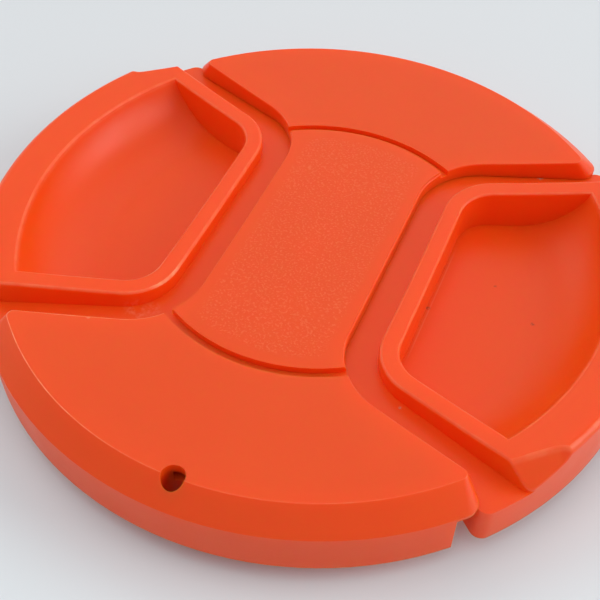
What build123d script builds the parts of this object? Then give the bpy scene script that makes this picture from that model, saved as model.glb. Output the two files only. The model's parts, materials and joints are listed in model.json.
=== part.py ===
"""Centre-pinch clip-in lens cap for a 58 mm filter thread.

X is the pinch axis, Y runs across the two fixed lobes and Z points out of the front face.
The cap rests on its rear plug, so Z = 0 is the rear of the plug.
"""
import os
from math import asin, cos, degrees, hypot, radians, sin, sqrt

from build123d import *

# Filter thread that the cap clips into
thread_radius = 29.0
thread_pitch = 0.75

# Front disc
rim_overhang = 2.15
bevel_run = 2.15
bevel_drop = 1.9
front_depth = 6.3
dish_depth = 1.3
plug_depth = 2.5
rim_wall = 1.5
lobe_wall = 1.0
core_margin = 1.6
top_round = 0.15
lobe_end_round = 1.5
lobe_tip_round = 0.15

# Centre badge, set off from the lobes by a narrow groove
badge_radius = 15.68
badge_rise = 0.15
groove_width = 0.84
groove_depth = 0.55

# U-shaped channels round the grips
bridge_half = 7.2
arm_angle = 20.2
arm_offset = 11.15
channel_corner = 7.2
channel_width = 2.8
channel_depth = 2.35

# Grips with their finger pockets
grip_wall = 1.75
grip_corner = 5.2
pocket_corner = 3.5
grip_proud = 0.2
pocket_rim = 3.88
pocket_floor_wall = 1.3
cup_clearance = 0.65
scoop_radius = 7.0
bulge_round = 0.7
grip_round = 0.3
pocket_round = 0.25
bulge_top_wall = 1.4

# Facets that bevel the two outer corners of each grip
facet_run = 3.05
facet_turn = 15.0
facet_foot_turn = 12.0
facet_end_angle = 27.5
facet_foot_angle = 28.8
facet_corner = 1.6
facet_foot_corner = 0.8
facet_clear = 0.2
grip_end_round = 1.0

# Slider flange and rim
slider_proud = 0.35
slider_rim_wall = 1.6
rim_end_round = 1.0
rim_web_depth = 1.5
rim_web_angle = 3.0
flange_thickness = 1.4
flange_tuck = 2.0
flange_neck_half = 12.0
ear_lead = 3.5
ear_margin = 2.3
slider_rim_angle = 43.4
rim_end_gap = 3.8
rim_relief = 0.35
rim_relief_angle = 16.0
pinch_travel = 2.1

# Claws that spring into the filter thread
thread_bite = 0.1
ridge_height = 0.75
ridge_count = 2
claw_wall = 1.7
claw_angle = 31.0
claw_lift = 0.3

# Rear cover
plug_gap = 1.0
plug_wall = 1.4
cover_thickness = 1.2
cover_recess = 0.8
cover_flange = 1.2
seat_width = 0.8

# Guide posts, staked over behind the rear cover
post_inset = 4.6
post_angle = 55.8
post_radius = 1.2
boss_wall = 0.95
stake_head = 0.7

# Return springs
spring_coil_radius = 1.1
spring_wire = 0.3
spring_turns = 7
spring_peg_length = 1.5
abutment_half = 1.0
abutment_half_width = 3.5

# Tether hole
tether_radius = 1.0
tether_inset = 0.1
tether_wall = 1.0

# Clearances, and how far a cutter reaches past the face it opens
slide_gap = 0.1
fit_gap = 0.05
free_gap = 0.3
cover_gap = 0.15
spring_play = 0.2
cut_over = 1.0

# Levels and shared sizes that follow from the values above
rim_radius = thread_radius + rim_overhang
top_radius = rim_radius - bevel_run
slider_radius = rim_radius + slider_proud
pocket_radius = slider_radius - pocket_rim
facet_radius = slider_radius - facet_run
plug_radius = thread_radius - plug_gap
tether_place = top_radius - tether_inset
rim_gap_angle = slider_rim_angle + rim_end_gap
top_z = plug_depth + front_depth
skirt_z = plug_depth
bevel_z = top_z - bevel_drop
floor_z = top_z - channel_depth
plate_z = floor_z + slide_gap
rim_inner = rim_radius - rim_wall
lid_z = top_z + cut_over
dish_radius = (top_radius**2 + dish_depth**2) / (2 * dish_depth)
flange_z = floor_z - flange_thickness
cover_z = cover_recess + cover_thickness
cup_z = cover_z + cup_clearance
pocket_z = cup_z + pocket_floor_wall
mouth_z = top_z + grip_proud - dish_depth * (1 - (pocket_radius / top_radius) ** 2)
pocket_depth = mouth_z - pocket_z
seat_z = skirt_z + cover_flange
slider_rim_inner = slider_radius - slider_rim_wall
claw_radius = thread_radius - thread_bite - ridge_height
scoop_rise = sqrt(scoop_radius**2 - (scoop_radius - pocket_depth) ** 2)
scoop_centre = pocket_radius - scoop_rise
scoop_z = pocket_z + scoop_radius
spring_space = flange_z - cover_z
spring_z = cover_z + spring_space / 2
spring_peg_radius = spring_coil_radius - spring_wire / 2 - spring_play
grip_inner_x = bridge_half + channel_width
post_x = (rim_inner - post_inset) * cos(radians(post_angle))
post_y = (rim_inner - post_inset) * sin(radians(post_angle))
far = 2 * slider_radius


def polar(radius, angle):
    """Plan point at a radius and an angle in degrees from +X."""
    return (radius * cos(radians(angle)), radius * sin(radians(angle)))


def turned(points):
    """Solid of revolution about Z from a closed profile of (radius, z) points."""
    return revolve(Plane.XZ * make_face(Polyline(*points, close=True)), Axis.Z)


def tube(inner, outer, low, high):
    """Plain ring about Z."""
    return turned([(inner, low), (outer, low), (outer, high), (inner, high)])


def block(outline, low, high):
    """Upright extrusion of a plan outline between two levels."""
    return extrude(Pos(0, 0, low) * outline, amount=high - low)


def dish(lift):
    """Ball whose underside is the dished front of the cap, raised by lift."""
    centre_z = top_z - dish_depth + dish_radius + lift
    return Pos(0, 0, centre_z) * Rot(90, 0, 0) * Sphere(dish_radius)


def dished_face(solid):
    """The face that a dish has cut in a solid."""
    return solid.faces().filter_by(GeomType.SPHERE).sort_by(SortBy.AREA)[-1]


def own_edges(solid, edges):
    """A solid's own edges among those taken from one of its faces."""
    return solid.edges().filter_by(lambda e: any(e.is_same(other) for other in edges))


def sector(half_angle):
    """Plan wedge about +X, larger than the cap."""
    return make_face(Polyline((0, 0), polar(far, -half_angle), polar(far, half_angle), close=True))


def arm_reach(radius, inset):
    """Angle at which a channel arm, moved in by inset, crosses a circle about Z."""
    return arm_angle + degrees(asin((arm_offset - inset) / radius))


def channel_outline(inset, corner):
    """Plan outline of the right channel's outer wall, moved in by inset."""
    lean = radians(arm_angle)

    def arm_y(x):
        return (arm_offset - inset + x * sin(lean)) / cos(lean)

    inner = bridge_half + inset
    points = [(inner, -arm_y(inner)), (far, -arm_y(far)), (far, arm_y(far)), (inner, arm_y(inner))]
    outline = make_face(Polyline(*points, close=True))
    return fillet(outline.vertices().group_by(Axis.X)[0], corner)


def both_sides(shape):
    """A right-hand shape and its twin on the left."""
    return [shape, Rot(0, 0, 180) * shape]


def four_posts(shape):
    """Copies of a shape at the four guide posts."""
    return [Pos(sx * post_x, sy * post_y, 0) * shape for sx in (-1, 1) for sy in (-1, 1)]


def upright(radius, low, high):
    """Upright round bar on the Z axis."""
    return block(Circle(radius), low, high)


def lying_peg(radius, start_x, end_x):
    """Round bar along X on the spring axis."""
    bar = Cylinder(radius, abs(end_x - start_x))
    return Pos((start_x + end_x) / 2, 0, spring_z) * Rot(0, 90, 0) * bar


def lobe_outline(radius, end_round):
    """Plan outline of the lobes and the bridge between the channels, at one level of the bevel."""
    outline = Circle(radius)
    for side in both_sides(channel_outline(0, channel_corner)):
        outline -= side
    lobe_ends = outline.vertices().filter_by(lambda v: hypot(v.X, v.Y) > radius - fit_gap)
    return fillet(lobe_ends, end_round)


def make_front_body():
    """Bevelled and dished front disc with its rim, cut by the two channels."""
    foot = lobe_outline(rim_radius, lobe_end_round)
    tip = lobe_outline(top_radius - cut_over * bevel_run / bevel_drop, lobe_tip_round)
    body = block(foot, skirt_z, bevel_z)
    body += loft([Pos(0, 0, bevel_z) * foot, Pos(0, 0, lid_z) * tip], ruled=True)
    body -= upright(rim_inner, 0, plate_z)
    gaps = both_sides(block(sector(rim_gap_angle), 0, plate_z))
    for gap in gaps:
        body -= gap
    body -= dish(0)
    body = fillet(own_edges(body, dished_face(body).edges()), top_round)

    # Badge plateau and the groove that frames it
    groove_z = top_z - dish_depth * (1 - (badge_radius / top_radius) ** 2) - groove_depth
    body -= tube(badge_radius, badge_radius + groove_width, groove_z, lid_z)
    pad = Circle(badge_radius)
    for side in both_sides(channel_outline(-top_round, channel_corner + top_round)):
        pad -= side
    body += block(pad, groove_z, top_z) - dish(badge_rise)

    # Hollows under the lobes
    core = Circle(rim_inner - core_margin) - Rectangle(2 * far, 2 * arm_offset)
    for side in both_sides(channel_outline(-core_margin, channel_corner + core_margin)):
        core -= side
    body -= block(core, plate_z, top_z) - dish(-lobe_wall)

    # Seat for the rear cover inside the rim
    seat = tube(rim_inner - seat_width, rim_inner + rim_wall / 2, seat_z, flange_z - cover_gap)
    for gap in gaps:
        seat -= gap
    body += seat

    # Guide posts with their staked heads, rooted in the wall of the lobes
    head_z = cover_recess + fit_gap
    head = Cone(post_radius + stake_head, post_radius, stake_head)
    for post in four_posts(upright(post_radius, head_z, top_z) + Pos(0, 0, head_z + stake_head / 2) * head):
        body += post - dish(-lobe_wall / 2)

    # Abutment between the springs, with a peg on each face
    body += block(Rectangle(2 * abutment_half, 2 * abutment_half_width), cover_z + slide_gap, plate_z)
    peg_end = abutment_half + spring_peg_length
    body += lying_peg(spring_peg_radius, -peg_end, peg_end)

    # Tether hole in its boss
    body += Pos(0, -tether_place, 0) * upright(tether_radius + tether_wall, skirt_z, plate_z)
    body -= Pos(0, -tether_place, 0) * upright(tether_radius, 0, lid_z)
    return body


def facet_outline(start_radius, turn, end_angle, corner_radius):
    """Plan outline of the cut that bevels a grip's outer corner, at one level."""
    start_angle = arm_reach(start_radius, channel_width)
    start = Vector(*polar(start_radius, start_angle))
    along = Vector(*polar(1, start_angle + turn - 90))
    out = Vector(*polar(1, end_angle))
    corner = start + along * (start.cross(out).Z / out.cross(along).Z)
    outer = corner + out * slider_radius
    points = [start - along * slider_radius, corner, outer, outer - along * far]
    outline = make_face(Polyline(*points, close=True))
    return fillet(outline.vertices().sort_by_distance(corner)[0], corner_radius)


def make_grip():
    """Right-hand grip, bevelled at its outer corners, before its pocket is cut."""
    outline = channel_outline(channel_width, grip_corner) & Circle(slider_radius)
    arm_ends = outline.vertices().filter_by(lambda v: hypot(v.X, v.Y) > slider_radius - fit_gap)
    grip = block(fillet(arm_ends, grip_end_round), floor_z, lid_z)
    foot_radius = slider_radius + facet_clear
    facet_foot = facet_outline(foot_radius, facet_foot_turn, facet_foot_angle, facet_foot_corner)
    facet_top = facet_outline(facet_radius, facet_turn, facet_end_angle, facet_corner)
    facet = loft([Pos(0, 0, floor_z) * facet_foot, Pos(0, 0, lid_z) * facet_top], ruled=True)
    grip -= facet
    grip -= mirror(facet, about=Plane.XZ)
    grip -= dish(grip_proud)

    # Round the top edges, the bulge most
    bulge_edge = dished_face(grip).edges().sort_by(Axis.X)[-1]
    grip = fillet(own_edges(grip, [bulge_edge]), bulge_round)
    side_edges = dished_face(grip).edges().sort_by(Axis.X)[:-1]
    return fillet(own_edges(grip, side_edges), grip_round)


def make_slider():
    """Right-hand slider: flange, grip with its finger pocket, rim and thread claw."""
    slider = make_grip()

    # Flange with its two ears, and the rim sector with a web behind each end
    neck = bridge_half - flange_tuck
    ear_start = post_x - ear_lead
    ear_half = post_y + ear_margin
    flange = make_face(Polyline(
        (neck, -flange_neck_half), (ear_start, -ear_half), (far, -ear_half),
        (far, ear_half), (ear_start, ear_half), (neck, flange_neck_half), close=True,
    ))
    rim = sector(slider_rim_angle) & Circle(slider_radius)
    rim_ends = rim.vertices().filter_by(lambda v: hypot(v.X, v.Y) > slider_radius - fit_gap)
    rim = fillet(rim_ends, rim_end_round)
    flange = flange & Circle(rim_inner - free_gap)
    flange += rim - Circle(rim_inner - 2 * free_gap)
    slider += block(flange, flange_z, floor_z)
    slider += block(rim - Circle(slider_rim_inner), skirt_z, floor_z)
    web = rim - sector(slider_rim_angle - rim_web_angle) - Circle(slider_rim_inner - rim_web_depth)
    slider += block(web, skirt_z, floor_z)
    relief = sector(rim_relief_angle) - Circle(slider_rim_inner - free_gap)
    slider -= block(relief, 0, skirt_z + rim_relief)

    # Cup under the grip, hollowed behind the scoop
    pocket = channel_outline(channel_width + grip_wall, pocket_corner)
    cup = channel_outline(channel_width, grip_corner) & Circle(slider_rim_inner + fit_gap)
    slider += block(cup, cup_z, floor_z)
    back_radius = scoop_radius + pocket_floor_wall
    hollow_z = top_z - bulge_top_wall
    hollow_reach = scoop_centre + sqrt(back_radius**2 - (scoop_z - hollow_z) ** 2)
    hollow_line = [
        Line((scoop_centre, cup_z - cut_over), (scoop_centre, cup_z)),
        TangentArc((scoop_centre, cup_z), (hollow_reach, hollow_z), tangent=(1, 0)),
        Line((hollow_reach, hollow_z), (slider_rim_inner, hollow_z)),
        Line((slider_rim_inner, hollow_z), (slider_rim_inner, cup_z - cut_over)),
        Line((slider_rim_inner, cup_z - cut_over), (scoop_centre, cup_z - cut_over)),
    ]
    hollow = revolve(Plane.XZ * make_face(Curve() + hollow_line), Axis.Z)
    slider -= hollow & block(pocket, 0, top_z)

    # Thread claw
    claw_inner = claw_radius - claw_wall
    claw = tube(claw_inner, claw_radius, claw_lift, hollow_z)
    for ridge in range(ridge_count):
        low = claw_lift + ridge * thread_pitch
        claw += turned([
            (claw_radius - fit_gap, low), (claw_radius + ridge_height, low + thread_pitch / 2),
            (claw_radius - fit_gap, low + thread_pitch),
        ])
    slider += claw & block(sector(claw_angle), 0, hollow_z)

    # Finger pocket
    scoop_line = [
        Line((0, pocket_z), (scoop_centre, pocket_z)),
        TangentArc((scoop_centre, pocket_z), (pocket_radius, mouth_z), tangent=(1, 0)),
        Line((pocket_radius, mouth_z), (pocket_radius, lid_z)),
        Line((pocket_radius, lid_z), (0, lid_z)),
        Line((0, lid_z), (0, pocket_z)),
    ]
    scoop = revolve(Plane.XZ * make_face(Curve() + scoop_line), Axis.Z)
    slider -= scoop & block(pocket, 0, lid_z)
    mouth = dished_face(slider).inner_wires()[0].edges()
    slider = fillet(own_edges(slider, mouth), pocket_round)

    # Slots that run on the guide posts, and the spring peg
    slot = SlotCenterToCenter(pinch_travel, 2 * (post_radius + slide_gap))
    for side in (-1, 1):
        slider -= block(Pos(post_x + pinch_travel / 2, side * post_y) * slot, 0, floor_z + fit_gap)
    slider += lying_peg(spring_peg_radius, grip_inner_x - spring_peg_length, grip_inner_x + fit_gap)
    return slider


def make_rear_cover():
    """Shallow tray with the plug ring, held by the staked posts."""
    plug_inner = plug_radius - plug_wall
    cover = turned([
        (0, cover_recess), (plug_inner, cover_recess), (plug_inner, 0), (plug_radius, 0),
        (plug_radius, skirt_z), (rim_inner - cover_gap, skirt_z), (rim_inner - cover_gap, seat_z),
        (plug_inner, seat_z), (plug_inner, cover_z), (0, cover_z),
    ])

    # Room for the slider rims and for the claws over their travel
    rim_sweep = Rectangle(2 * far, 2 * rim_inner * sin(radians(rim_gap_angle)))
    cover -= block(rim_sweep - Circle(plug_inner - pinch_travel), skirt_z - free_gap, seat_z + cut_over)
    claw_half = claw_radius * sin(radians(claw_angle)) + 2 * free_gap
    window = Pos(far / 2, 0) * Rectangle(far, 2 * claw_half)
    inner_edge = Pos(-pinch_travel - free_gap, 0) * Circle(claw_radius - claw_wall)
    for opening in both_sides(block(window - inner_edge, 0, seat_z + cut_over)):
        cover -= opening

    # Bosses that carry the flange ears, bored for the staked posts
    boss_radius = post_radius + fit_gap + boss_wall
    for boss in four_posts(upright(boss_radius, cover_recess, flange_z - slide_gap)):
        cover += boss
    bore = upright(post_radius + fit_gap, 0, flange_z)
    sink = Cone(post_radius + stake_head + fit_gap, post_radius + fit_gap, stake_head)
    bore += Pos(0, 0, cover_recess + fit_gap + stake_head / 2) * sink
    bore += upright(post_radius + stake_head + fit_gap, 0, cover_recess + fit_gap)
    for copy in four_posts(bore):
        cover -= copy

    # Notch round the tether boss
    cover -= Pos(0, -tether_place, 0) * upright(tether_radius + tether_wall + slide_gap, skirt_z, seat_z)
    cover -= Pos(0, -tether_place, 0) * upright(tether_radius + free_gap, 0, seat_z)
    return cover


def make_spring():
    """Right-hand return spring between the abutment and the slider."""
    wire_radius = spring_wire / 2
    start = abutment_half + wire_radius + fit_gap
    length = grip_inner_x - wire_radius - fit_gap - start
    path = Helix(length / spring_turns, length, spring_coil_radius)
    section = Plane(origin=path @ 0, z_dir=path % 0) * Circle(wire_radius)
    coil = sweep(section, path=path)
    return Pos(start, 0, spring_z) * Rot(0, 90, 0) * coil


os.makedirs("parts", exist_ok=True)
right_slider, left_slider = both_sides(make_slider())
right_spring, left_spring = both_sides(make_spring())
nodes = {
    "front_body": make_front_body(),
    "rear_cover": make_rear_cover(),
    "left_slider": left_slider,
    "right_slider": right_slider,
    "left_spring": left_spring,
    "right_spring": right_spring,
}
for name, shape in nodes.items():
    solids = shape.solids()
    print(name, len(solids), "solid", round(shape.volume, 2), "mm3", shape.is_valid)
    export_step(shape, f"parts/{name}.step")
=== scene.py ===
# %% [markdown]
# # A centre-pinch lens cap
# The cap is four orange mouldings and two small springs. The solids come ready from the CAD frame, with
# their true sizes in metres, so this lesson dresses them: it gives each moulding its finish and its wear,
# winds the springs, and sets up a small photo table around the cap.

# %% Load the frame
import json
from math import radians, tau

import bmesh
import bpy
from mathutils import Matrix, Vector

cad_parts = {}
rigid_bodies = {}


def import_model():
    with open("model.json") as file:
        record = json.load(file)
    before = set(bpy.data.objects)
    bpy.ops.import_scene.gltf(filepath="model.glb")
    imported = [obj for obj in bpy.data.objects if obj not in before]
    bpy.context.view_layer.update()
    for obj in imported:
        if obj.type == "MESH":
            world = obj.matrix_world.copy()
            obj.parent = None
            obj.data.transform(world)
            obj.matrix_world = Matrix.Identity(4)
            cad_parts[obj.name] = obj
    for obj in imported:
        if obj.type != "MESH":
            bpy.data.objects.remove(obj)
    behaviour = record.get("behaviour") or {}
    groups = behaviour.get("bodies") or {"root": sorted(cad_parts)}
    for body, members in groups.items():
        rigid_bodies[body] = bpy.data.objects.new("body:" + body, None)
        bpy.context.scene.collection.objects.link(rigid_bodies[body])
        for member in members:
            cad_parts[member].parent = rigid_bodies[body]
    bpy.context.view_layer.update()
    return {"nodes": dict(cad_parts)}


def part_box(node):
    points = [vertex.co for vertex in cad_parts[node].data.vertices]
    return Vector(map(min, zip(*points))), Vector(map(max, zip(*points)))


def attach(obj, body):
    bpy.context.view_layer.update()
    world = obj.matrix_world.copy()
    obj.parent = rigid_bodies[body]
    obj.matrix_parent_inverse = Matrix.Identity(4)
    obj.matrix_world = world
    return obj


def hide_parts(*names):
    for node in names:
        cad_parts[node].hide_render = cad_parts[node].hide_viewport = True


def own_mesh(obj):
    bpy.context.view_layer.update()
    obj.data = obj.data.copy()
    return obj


for leftover in list(bpy.data.objects):
    bpy.data.objects.remove(leftover)
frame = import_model()
mm = 0.001
print("nodes:", sorted(frame["nodes"]))

# %% [markdown]
# ## Wiring a finish
# Every finish below is a small network of shader nodes. A network is easier to read as a list of
# "add this node, with these settings, fed by those" than as pages of links, so one helper adds a node
# and plugs in whatever is a socket, and sets whatever is a plain number or colour. The others wrap what
# comes up most: sums, ramps between two limits, blends of two colours, and questions about where on the
# cap the shaded point is. The last two plug a result into the shader and start a new finish.

# %% A helper that adds one node
def add_node(material, kind, inputs=(), **settings):
    """Add a node; inputs is a list of (socket name or number, value or source socket)."""
    tree = material.node_tree
    node = tree.nodes.new(kind)
    for name, value in settings.items():
        setattr(node, name, value)
    for socket, value in inputs:
        if isinstance(value, bpy.types.NodeSocket):
            tree.links.new(value, node.inputs[socket])
        else:
            node.inputs[socket].default_value = value
    return node


# %% Helpers for sums, ramps and blends
def calc(material, operation, first, second=0.0):
    """Result of a math node on one or two numbers or sockets."""
    return add_node(material, "ShaderNodeMath", [
        (0, first), (1, second),
    ], operation=operation).outputs["Value"]


def ramp(material, value, start, end, low, high):
    """Smooth change from low to high while a value goes from start to end."""
    return add_node(material, "ShaderNodeMapRange", [
        ("Value", value), ("From Min", start), ("From Max", end), ("To Min", low), ("To Max", high),
    ], interpolation_type="SMOOTHSTEP").outputs["Result"]


def blended(material, amount, colour, other):
    """Colour that turns into another one by an amount from 0 to 1."""
    return add_node(material, "ShaderNodeMix", [
        ("Factor", amount), ("A", colour), ("B", other),
    ], data_type="RGBA").outputs["Result"]


# %% Helpers that ask where the shaded point is
def apart(material, vector):
    """The parts of a vector, as sockets named X, Y and Z."""
    return add_node(material, "ShaderNodeSeparateXYZ", [("Vector", vector)]).outputs


def plan_of(material, place):
    """The shaded point as seen from above, with its height taken out."""
    return add_node(material, "ShaderNodeVectorMath", [
        (0, place), (1, (1.0, 1.0, 0.0)),
    ], operation="MULTIPLY").outputs["Vector"]


def distance_from(material, place, at):
    """Distance of the shaded point from a point given in millimetres."""
    return add_node(material, "ShaderNodeVectorMath", [
        (0, place), (1, [side * mm for side in at]),
    ], operation="DISTANCE").outputs["Value"]


# %% Helpers that feed and start a finish
def feed(material, output, shader, socket):
    """Plug an output into one socket of the shader."""
    material.node_tree.links.new(output, shader.inputs[socket])


def new_finish(name):
    """A material with nothing but its shader, and the object's own coordinates to read."""
    material = bpy.data.materials.new(name)
    material.use_nodes = True
    shader = material.node_tree.nodes["Principled BSDF"]
    place = add_node(material, "ShaderNodeTexCoord").outputs["Object"]
    return material, shader, place


# %% [markdown]
# ## Satin plastic
# The tool that moulds the cap has a satin, spark-eroded surface, so the plastic has a fine pebble of
# about a fifth of a millimetre and no gloss. A picture of such a surface could be wrapped round the cap,
# but a noise in object space, read in metres, has the right scale everywhere and no seams, so it gives
# the pebble as a bump. A much larger noise shifts the orange a little from place to place, because
# pigment never spreads quite evenly through a moulding. Thin walls of this plastic let red light through,
# so shaded walls glow: subsurface scattering, far in red and short in green and blue, gives that.

# %% The orange of the mouldings
deep_orange = (0.85, 0.071, 0.002, 1.0)
light_orange = (0.905, 0.082, 0.003, 1.0)
pigment_patch = 14 * mm
gloss_patch = 5 * mm
pebble_size = 0.22 * mm
pebble_depth = 0.02 * mm
satin_sockets = {
    "IOR": 1.52,
    "Specular IOR Level": 0.29,
    "Subsurface Weight": 0.8,
    "Subsurface Radius": (1.0, 0.15, 0.05),
    "Subsurface Scale": 2.0 * mm,
}


def pebble(material, place, size, detail=2.0):
    """Height of a random pebble whose grains are about size across."""
    return add_node(material, "ShaderNodeTexNoise", [
        ("Vector", place), ("Scale", 1 / size), ("Detail", detail), ("Roughness", 0.6),
    ]).outputs["Fac"]


def moulded_orange(name, smooth, rough):
    """Satin orange plastic; gives the material, its shader, coordinates, colour and bump."""
    material, shader, place = new_finish(name)
    pigment = pebble(material, place, pigment_patch, detail=3.0)
    colour = blended(material, pigment, deep_orange, light_orange)
    satin = ramp(material, pebble(material, place, gloss_patch), 0.3, 0.7, smooth, rough)
    feed(material, satin, shader, "Roughness")
    for socket, value in satin_sockets.items():
        shader.inputs[socket].default_value = value
    bump = add_node(material, "ShaderNodeBump", [
        ("Strength", 0.25), ("Distance", pebble_depth), ("Height", pebble(material, place, pebble_size)),
    ]).outputs["Normal"]
    return material, shader, place, colour, bump


# %% One finish for each kind of moulding
body_finish, body_shader, body_place, body_colour, body_bump = moulded_orange(
    "front_plastic_finish", smooth=0.38, rough=0.44)
slider_finish, slider_shader, slider_place, slider_colour, slider_bump = moulded_orange(
    "slider_plastic_finish", smooth=0.34, rough=0.40)
cover_finish, cover_shader, cover_place, cover_colour, cover_bump = moulded_orange(
    "cover_plastic_finish", smooth=0.42, rough=0.48)
print("plastic finishes:", body_finish.name, slider_finish.name, cover_finish.name)

# %% [markdown]
# ## The grained badge
# The field in the middle of the bridge is etched more coarsely than the rest, so it glitters: its glints
# are painted as tiny pale specks on the crests of the grain. It stops about a millimetre short of the
# field's edge, where the tool was polished. It is part of the same moulding, so it isn't a piece of its
# own: the finish finds it by the distance from the cap's axis and from the channels at its sides, and lays
# a second pebble on top of the first.

# %% Etch the badge
badge_radius = 15.68 * mm
bridge_half = 7.2 * mm
etch_margin = 0.9 * mm
etch_fade = 0.7 * mm
etch_size = 0.22 * mm
etch_depth = 0.06 * mm
etch_strength = 0.55
etch_radius = badge_radius - etch_margin
etch_half = bridge_half - etch_margin
from_axis = distance_from(body_finish, plan_of(body_finish, body_place), (0.0, 0.0, 0.0))
from_middle = calc(body_finish, "ABSOLUTE", apart(body_finish, body_place)["X"])
etched = calc(
    body_finish, "MULTIPLY",
    ramp(body_finish, from_axis, etch_radius - etch_fade, etch_radius, 1.0, 0.0),
    ramp(body_finish, from_middle, etch_half - etch_fade, etch_half, 1.0, 0.0),
)
grain = pebble(body_finish, body_place, etch_size, detail=1.5)
etch_bump = add_node(body_finish, "ShaderNodeBump", [
    ("Strength", calc(body_finish, "MULTIPLY", etched, etch_strength)), ("Distance", etch_depth),
    ("Height", grain), ("Normal", body_bump),
]).outputs["Normal"]
print("badge grain inside a radius of", round(etch_radius / mm, 2), "mm")

# %% Painted glints: pale specks on the crests of the grain
# The pale specks are painted glints, a painted highlight on the crests of the etched grain.
glint_tone = (0.92, 0.15, 0.050, 1.0)
crest_start = 0.50
crest_top = 0.70
glint_amount = 0.65
crest = ramp(body_finish, grain, crest_start, crest_top, 0.0, glint_amount)
painted_glints = calc(body_finish, "MULTIPLY", etched, crest)
body_colour = blended(body_finish, painted_glints, body_colour, glint_tone)
print("specks on crests above", crest_start, "of the grain's height")

# %% [markdown]
# ## Rubbed edges and painted highlights
# A cap lives in pockets and bags, so its top edges are rubbed paler than its faces. The same pale line
# also stands for the highlight on the rounded edges, so it is partly wear and partly painted highlight.
# The marks could be painted on by hand, but then they would be tied to one mesh. The edges are narrow
# rounds in the
# CAD model, and on a round the surface is neither level nor upright, so the tilt of the object's own
# normal finds every one of them. The front is a shallow dish, and a limit on the depth below it keeps the
# mark off the bevel's foot and off the scooped pocket floors.

# %% Find the rounds along the top edges
dish_depth = 1.3 * mm
dish_radius = 29.0 * mm
dish_middle = 7.5 * mm
dish_curve = dish_depth / dish_radius**2


def on_rounds(material, place, upright, level):
    """1 on the rounded edges close under the dished front, 0 elsewhere."""
    facing = add_node(material, "ShaderNodeTexCoord").outputs["Normal"]
    tilt = apart(material, facing)["Z"]
    tilted = calc(
        material, "MULTIPLY",
        ramp(material, tilt, upright, upright + 0.05, 0.0, 1.0),
        ramp(material, tilt, level - 0.02, level, 1.0, 0.0),
    )
    outwards = distance_from(material, plan_of(material, place), (0.0, 0.0, 0.0))
    rise = calc(material, "MULTIPLY", calc(material, "MULTIPLY", outwards, outwards), dish_curve)
    front = calc(material, "ADD", rise, dish_middle)
    below_front = calc(material, "SUBTRACT", front, apart(material, place)["Z"])
    close_under = ramp(material, below_front, 0.05 * mm, 0.35 * mm, 1.0, 0.0)
    return calc(material, "MULTIPLY", tilted, close_under)


body_rounds = on_rounds(body_finish, body_place, upright=0.78, level=0.985)
slider_rounds = on_rounds(slider_finish, slider_place, upright=0.30, level=0.97)
print("the front is a dish", round(dish_depth / mm, 2), "mm deep")

# %% [markdown]
# ## Uneven rubbing and painted highlight
# Rubbing is never even, and the highlight painted into the same line is strongest where light from the
# left catches the edges. The near left edge of the front and one corner of the left grip get the most of
# it, and everywhere the pale line comes and goes. A ramp on the distance from one point sets how strong
# the line is, and a noise breaks it up.

# %% Pale lines along the rounds
# The pale tone on the rounds is partly rubbing and partly a painted highlight along the rounded edges.
rubbed_and_highlight_tone = (0.96, 0.28, 0.13, 1.0)
rub_and_highlight_patch = 1.5 * mm


def rubbed_and_highlit(material, place, colour, rounds, strongest_at, reach, least):
    """Colour with a paler tone on the rounds, partly rubbing and partly painted highlight, all of it near
    one point and the least far away.
    """
    away = distance_from(material, place, strongest_at)
    wear_and_highlight_strength = ramp(material, away, 0.4 * reach * mm, reach * mm, 1.0, least)
    uneven = ramp(material, pebble(material, place, rub_and_highlight_patch), 0.35, 0.65, 0.5, 1.0)
    line = calc(material, "MULTIPLY", rounds, uneven)
    return blended(material, calc(material, "MULTIPLY", line, wear_and_highlight_strength), colour, rubbed_and_highlight_tone)


# Pale line on the rounds, partly wear and partly painted highlight, strongest at the near left edge.
body_colour = rubbed_and_highlit(
    body_finish, body_place, body_colour, body_rounds,
    strongest_at=(-23.0, -18.0, 8.6), reach=28.0, least=0.2)
slider_colour = rubbed_and_highlit(
    slider_finish, slider_place, slider_colour, slider_rounds,
    strongest_at=(-10.8, -9.9, 7.9), reach=2.6, least=0.3)
print("rubbed lines on", body_finish.name, "and", slider_finish.name)

# %% [markdown]
# ## Small marks
# A used cap has a few marks that nobody designed: scuffs and lint in a channel, a nick in a lobe, specks
# of dust in a pocket. Each is a dab of another tone round one point, broken up by a fine noise so that
# it doesn't look like a dot. Small meshes laid on the cap would do too, but they would have to ride on
# it. The points are in the object's coordinates, so a mark stays on the plastic when a slider is pinched.

# %% Dabs of wear and dust
def dab(material, place, colour, at, reach, tone, amount):
    """Colour with a ragged mark of another tone round one point."""
    away = distance_from(material, place, at)
    near = ramp(material, away, 0.3 * reach * mm, reach * mm, 1.0, 0.0)
    ragged = ramp(material, pebble(material, place, 0.45 * reach * mm), 0.38, 0.62, 0.0, amount)
    return blended(material, calc(material, "MULTIPLY", near, ragged), colour, tone)


# %% Where the marks are
scuff_tone = (0.94, 0.26, 0.14, 1.0)
dust_tone = (0.20, 0.03, 0.012, 1.0)
lint_tone = (0.55, 0.42, 0.38, 1.0)
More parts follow.
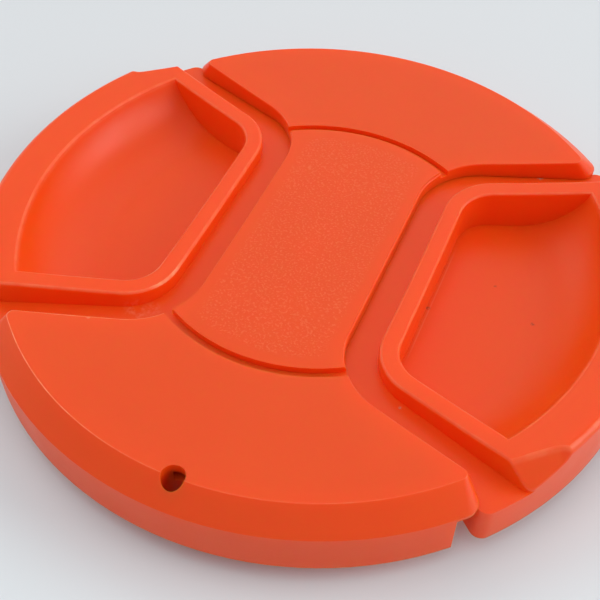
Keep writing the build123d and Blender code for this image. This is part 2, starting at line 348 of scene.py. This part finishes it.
# Each mark has its place and its reach in millimetres, its tone and its strength.
slider_marks = [
    ((-11.9, -13.8, 6.45), 1.5, scuff_tone, 0.45),
    ((-10.6, -13.0, 6.45), 1.1, scuff_tone, 0.35),
    ((13.6, -14.4, 6.45), 0.22, lint_tone, 0.8),
    ((17.4, 18.4, 6.45), 0.45, lint_tone, 0.7),
    ((11.9, -0.8, 3.95), 0.32, dust_tone, 0.8),
    ((21.5, 1.2, 3.97), 0.30, dust_tone, 0.8),
    ((17.0, 4.4, 3.95), 0.22, dust_tone, 0.5),
]
lobe_nick = ((-14.4, -17.3, 8.26), 0.30, scuff_tone, 0.8)
for mark in slider_marks:
    slider_colour = dab(slider_finish, slider_place, slider_colour, *mark)
body_colour = dab(body_finish, body_place, body_colour, *lobe_nick)
print("marks on the sliders:", len(slider_marks))

# %% [markdown]
# ## Witness line
# Each pocket is formed by a core pin of its own, and where the pin met the tool a hair line is left
# along the foot of the inner wall. A groove in the mesh would need far finer faces than the rest, so the
# line is a band of one x in object space, close above the pocket's floor.

# %% A hair line at the foot of the pocket wall
line_at = 12.06 * mm
line_half_width = 0.10 * mm
line_half_length = 8.5 * mm
line_amount = 0.35
pocket_floor = 3.95 * mm
slider_point = apart(slider_finish, slider_place)
outwards = calc(slider_finish, "ABSOLUTE", slider_point["X"])
aside = calc(slider_finish, "ABSOLUTE", calc(slider_finish, "SUBTRACT", outwards, line_at))
along = calc(slider_finish, "ABSOLUTE", slider_point["Y"])
hair = calc(
    slider_finish, "MULTIPLY",
    ramp(slider_finish, aside, 0.2 * line_half_width, line_half_width, line_amount, 0.0),
    ramp(slider_finish, along, 0.6 * line_half_length, line_half_length, 1.0, 0.0),
)
low_down = ramp(
    slider_finish, slider_point["Z"], pocket_floor + 0.1 * mm, pocket_floor + 0.3 * mm, 1.0, 0.0)
witness = calc(slider_finish, "MULTIPLY", hair, low_down)
slider_colour = blended(slider_finish, witness, slider_colour, scuff_tone)
print("witness line", round(line_at / mm, 2), "mm from the middle")

# %% [markdown]
# ## Ejector marks
# A tray like the rear cover is pushed out of its tool by round pins, and each pin leaves a faint ring.
# The rings are a bump in the finish, because they are only a few hundredths of a millimetre deep.

# %% Rings on the rear cover
pin_radius = 1.6 * mm
ring_depth = 0.06 * mm
pin_places = [(side * 17.5, end * 9.0, 0.0) for side in (-1, 1) for end in (-1, 1)]
pin_places += [(0.0, 8.5, 0.0), (0.0, -8.5, 0.0)]
cover_plan = plan_of(cover_finish, cover_place)
rings = 0.0
for pin_at in pin_places:
    away = distance_from(cover_finish, cover_plan, pin_at)
    off_ring = calc(cover_finish, "ABSOLUTE", calc(cover_finish, "SUBTRACT", away, pin_radius))
    ring = ramp(cover_finish, off_ring, 0.02 * mm, 0.14 * mm, 1.0, 0.0)
    rings = calc(cover_finish, "ADD", ring, rings)
cover_rings = add_node(cover_finish, "ShaderNodeBump", [
    ("Strength", 0.8), ("Distance", ring_depth), ("Height", rings), ("Normal", cover_bump),
], invert=True).outputs["Normal"]
print("ejector rings:", len(pin_places))

# %% [markdown]
# ## Dressing the mouldings
# The colours and bumps are now complete, so they are plugged into their shaders. Each CAD piece comes
# with one material slot that holds a plain stand-in. Its mesh stays as it is, and the finish goes into
# that slot. The two sliders come out of the same tool, so they share one finish.

# %% Put the finishes on the mouldings
feed(body_finish, body_colour, body_shader, "Base Color")
feed(body_finish, etch_bump, body_shader, "Normal")
feed(slider_finish, slider_colour, slider_shader, "Base Color")
feed(slider_finish, slider_bump, slider_shader, "Normal")
feed(cover_finish, cover_colour, cover_shader, "Base Color")
feed(cover_finish, cover_rings, cover_shader, "Normal")
finishes = {
    "front_body": body_finish, "rear_cover": cover_finish,
    "left_slider": slider_finish, "right_slider": slider_finish,
}
for node, finish in finishes.items():
    frame["nodes"][node].material_slots[0].material = finish
    print(node, "gets", finish.name)

# %% [markdown]
# ## The return springs
# Each slider is pushed out by a small coil of drawn steel wire with closed ends. A curve with a round
# bevel could follow such a coil, but its points would have to be worked out. Here a circle of wire is
# spun round the spring's axis while it moves along it, which is the spin operator with a step vector.
# Three spins in a row give a closed end coil, the open coils and the other end coil. The spring gets
# shorter when its slider is pinched; here it is wound once, at the length of its box in the CAD model.

# %% Wind the springs
wire_radius = 0.15 * mm
wire_sides = 12
open_turns = 6
steps_per_turn = 28


def wind_spring(name, low, high):
    """Coil along X that fills a box from low to high."""
    axis_at = (low + high) / 2
    coil_radius = (high.y - low.y) / 2 - wire_radius
    length = high.x - low.x
    closed_pitch = 2.05 * wire_radius
    open_pitch = (length - 2 * wire_radius - 2 * closed_pitch) / open_turns
    wire = bmesh.new()
    start = Vector((low.x + wire_radius, axis_at.y, axis_at.z + coil_radius))
    ring = bmesh.ops.create_circle(
        wire, cap_ends=True, segments=wire_sides, radius=wire_radius,
        matrix=Matrix.Translation(start) @ Matrix.Rotation(radians(90), 4, "X"),
    )
    end = ring["verts"] + list(wire.edges) + list(wire.faces)
    for turns, pitch in ((1, closed_pitch), (open_turns, open_pitch), (1, closed_pitch)):
        steps = turns * steps_per_turn
        wound = bmesh.ops.spin(
            wire, geom=end, cent=axis_at, axis=(1, 0, 0), angle=turns * tau, steps=steps,
            dvec=(turns * pitch / steps, 0, 0),
        )
        end = wound["geom_last"]
    bmesh.ops.recalc_face_normals(wire, faces=wire.faces)
    mesh = bpy.data.meshes.new(name)
    wire.to_mesh(mesh)
    wire.free()
    mesh.shade_smooth()
    spring = bpy.data.objects.new(name, mesh)
    bpy.context.collection.objects.link(spring)
    return spring


# %% Seat the springs
springs = []
for side in ("left", "right"):
    low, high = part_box(f"{side}_spring")
    spring = wind_spring(f"{side}_wound_spring", low, high)
    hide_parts(f"{side}_spring")
    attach(spring, "housing")
    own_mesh(spring)
    springs.append(spring)
    print(spring.name, len(spring.data.polygons), "faces")

# %% [markdown]
# ## Drawn steel wire
# Wire is pulled through a die, which leaves it bright, with a dull patch here and there. Metal has no
# colour of its own under the shine, so only the roughness changes from place to place.

# %% Finish of the springs
dull_patch = 0.4 * mm
steel, steel_shader, steel_place = new_finish("spring_wire_finish")
steel_shader.inputs["Base Color"].default_value = (0.56, 0.56, 0.57, 1.0)
steel_shader.inputs["Metallic"].default_value = 1.0
dull = add_node(steel, "ShaderNodeMapRange", [
    ("Value", pebble(steel, steel_place, dull_patch)), ("To Min", 0.22), ("To Max", 0.45),
])
feed(steel, dull.outputs["Result"], steel_shader, "Roughness")
for spring in springs:
    spring.data.materials.append(steel)
print("springs get", steel.name)

# %% [markdown]
# ## The photo table
# The cap lies on a sheet of pale, matt paper, which takes the soft shadow and lights the skirt from below.
# One flat grid is enough for it. Towards the viewer the paper is painted lighter and a little cooler: that
# is painted light, standing in for the floor in front of the cap being lit more. A ramp along that
# direction on the table blends its two tones.

# %% Table top
table_size = 6.0
table_mesh = bpy.data.meshes.new("table_top")
sheet = bmesh.new()
bmesh.ops.create_grid(sheet, x_segments=1, y_segments=1, size=table_size / 2)
sheet.to_mesh(table_mesh)
sheet.free()
table = bpy.data.objects.new("table_top", table_mesh)
bpy.context.collection.objects.link(table)
print("table", table_size, "m across")

# %% Paper on the table
# Painted light: the two tones are one paper, shaded at the back and lit towards the viewer.
shaded_paper_tone = (0.69, 0.71, 0.715, 1.0)
lit_paper_tone = (0.76, 0.82, 0.83, 1.0)
towards_viewer = (0.39, -0.92, 0.0)
lightest_at = 45 * mm
paper, paper_shader, paper_place = new_finish("table_paper")
nearness = add_node(paper, "ShaderNodeVectorMath", [
    (0, paper_place), (1, towards_viewer),
], operation="DOT_PRODUCT").outputs["Value"]
painted_light = ramp(paper, nearness, 0.0, lightest_at, 0.0, 1.0)
feed(paper, blended(paper, painted_light, shaded_paper_tone, lit_paper_tone), paper_shader, "Base Color")
paper_shader.inputs["Roughness"].default_value = 0.7
table_mesh.materials.append(paper)
print("table gets", paper.name)

# %% [markdown]
# ## Light
# The cap lies in a light room, so much of the light comes evenly from everywhere and the shadow stays
# soft. One lamp on its own would leave the pockets black. Four wide soft boxes shape the light instead:
# one overhead, a stronger one on the right that gives the scooped pockets their sheen, one on the left,
# and a weaker one behind that lifts the far lobe.

# %% Soft boxes and surroundings
def soft_box(name, place, size, power):
    """Round lamp of a size in metres and a power in watts that faces the cap."""
    lamp = bpy.data.lights.new(name, "AREA")
    lamp.shape = "DISK"
    lamp.size = size
    lamp.energy = power
    box = bpy.data.objects.new(name, lamp)
    box.location = place
    box.rotation_euler = (-Vector(place)).to_track_quat("-Z", "Y").to_euler()
    bpy.context.collection.objects.link(box)


soft_box("overhead_box", (0.0, -0.10, 0.62), size=0.5, power=0.82)
soft_box("right_box", (0.54, 0.18, 0.27), size=0.42, power=1.65)
soft_box("left_box", (-0.50, 0.10, 0.40), size=0.6, power=0.88)
soft_box("back_box", (0.0, 0.45, 0.43), size=0.6, power=0.55)
room = bpy.data.worlds.new("room")
room.use_nodes = True
room_light = room.node_tree.nodes["Background"].inputs
room_light["Color"].default_value = (0.92, 0.95, 1.0, 1.0)
room_light["Strength"].default_value = 0.54
bpy.context.scene.world = room

# %% [markdown]
# ## Camera
# The cap is seen from close by, from nearly 50 degrees above the table, turned so that one slider points
# to the right edge of the picture. The place and turn of the camera were found by matching the cap's
# circles, so they are plain numbers: a camera aimed by eye would not meet every edge.

# %% Camera
lens = bpy.data.cameras.new("table_camera")
lens.sensor_width = 36.0
lens.lens = 61.002
lens.clip_start = 1 * mm
camera = bpy.data.objects.new("table_camera", lens)
camera.location = (24.261 * mm, -63.324 * mm, 76.51 * mm)
camera.rotation_euler = (radians(41.111), radians(-0.616), radians(22.805))
bpy.context.collection.objects.link(camera)
bpy.context.scene.camera = camera
bpy.context.scene.view_settings.view_transform = "Standard"
print("camera", round(camera.location.length / mm), "mm from the foot of the cap")
